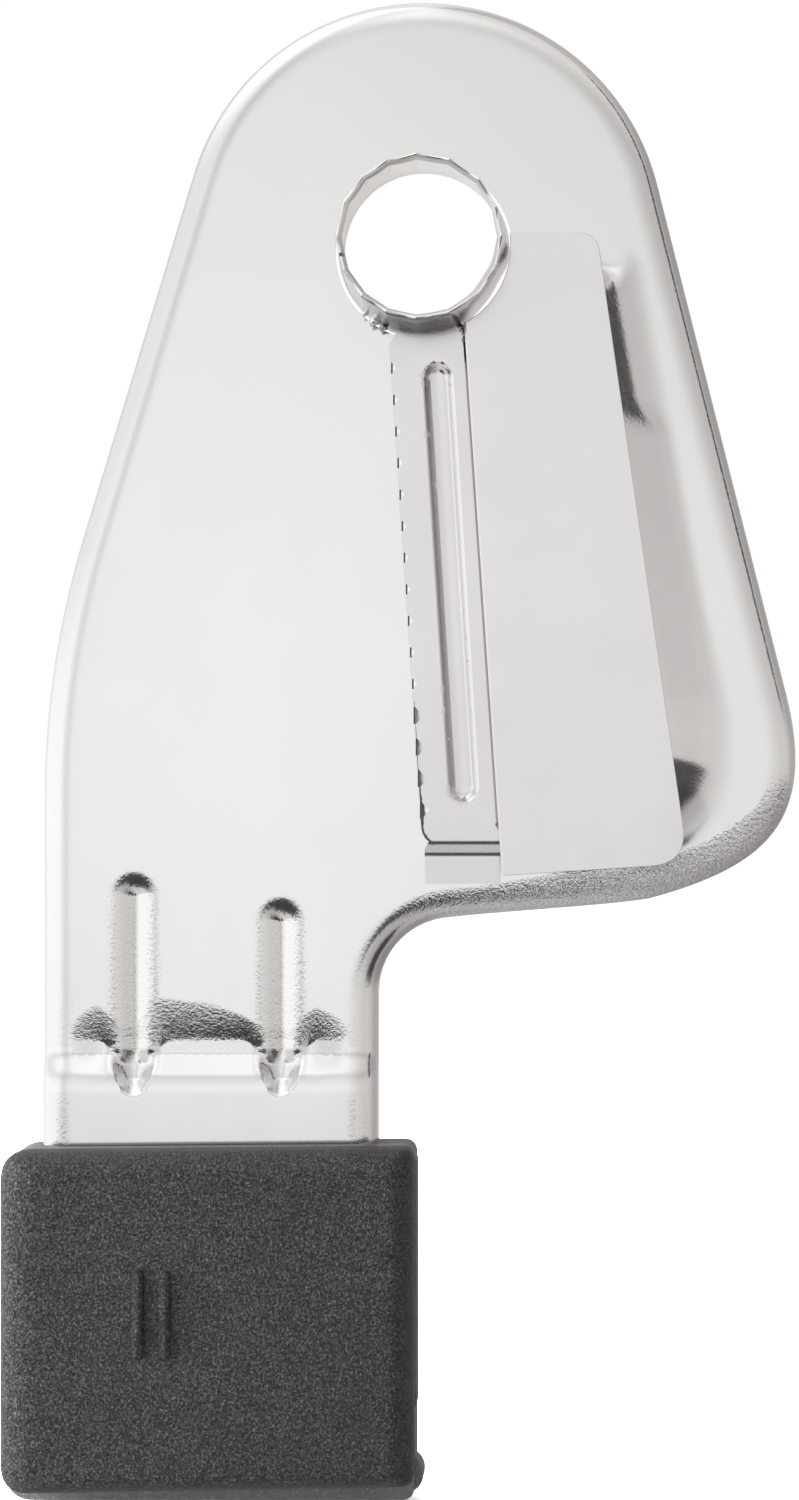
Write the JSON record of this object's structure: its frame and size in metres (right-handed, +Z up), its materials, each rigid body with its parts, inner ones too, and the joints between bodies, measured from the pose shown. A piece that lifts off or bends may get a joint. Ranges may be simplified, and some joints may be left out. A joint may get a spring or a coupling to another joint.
{
  "type": "spiral slicer blade insert",
  "caption": "Stamped steel spiral slicer blade insert with coring ring, flat slicing blade, serrated strip and a dark textured plastic grip",
  "frame": {"origin": "on the flat underside of the grip's back shell, below the middle of the grip", "axes": "+Z up the plate from the grip to the round head, +X to the right seen from the front, the cutting side faces -Y"},
  "size_m": [0.071, 0.0153, 0.1356],
  "materials": {
    "plate_steel": "satin",
    "blade_steel": "polished",
    "ring_steel": "satin",
    "grip_plastic": "spark-eroded grain",
    "back_plastic": "smooth matte",
    "screw_steel": "plain zinc"
  },
  "bodies": {
    "root": {"base_plate": "plate_steel", "slicing_blade": "blade_steel", "serrated_strip": "blade_steel", "core_ring": "ring_steel", "grip_front_shell": "grip_plastic", "grip_back_shell": "back_plastic", "grip_screw_left": "screw_steel", "grip_screw_right": "screw_steel"}
  },
  "joints": []
}
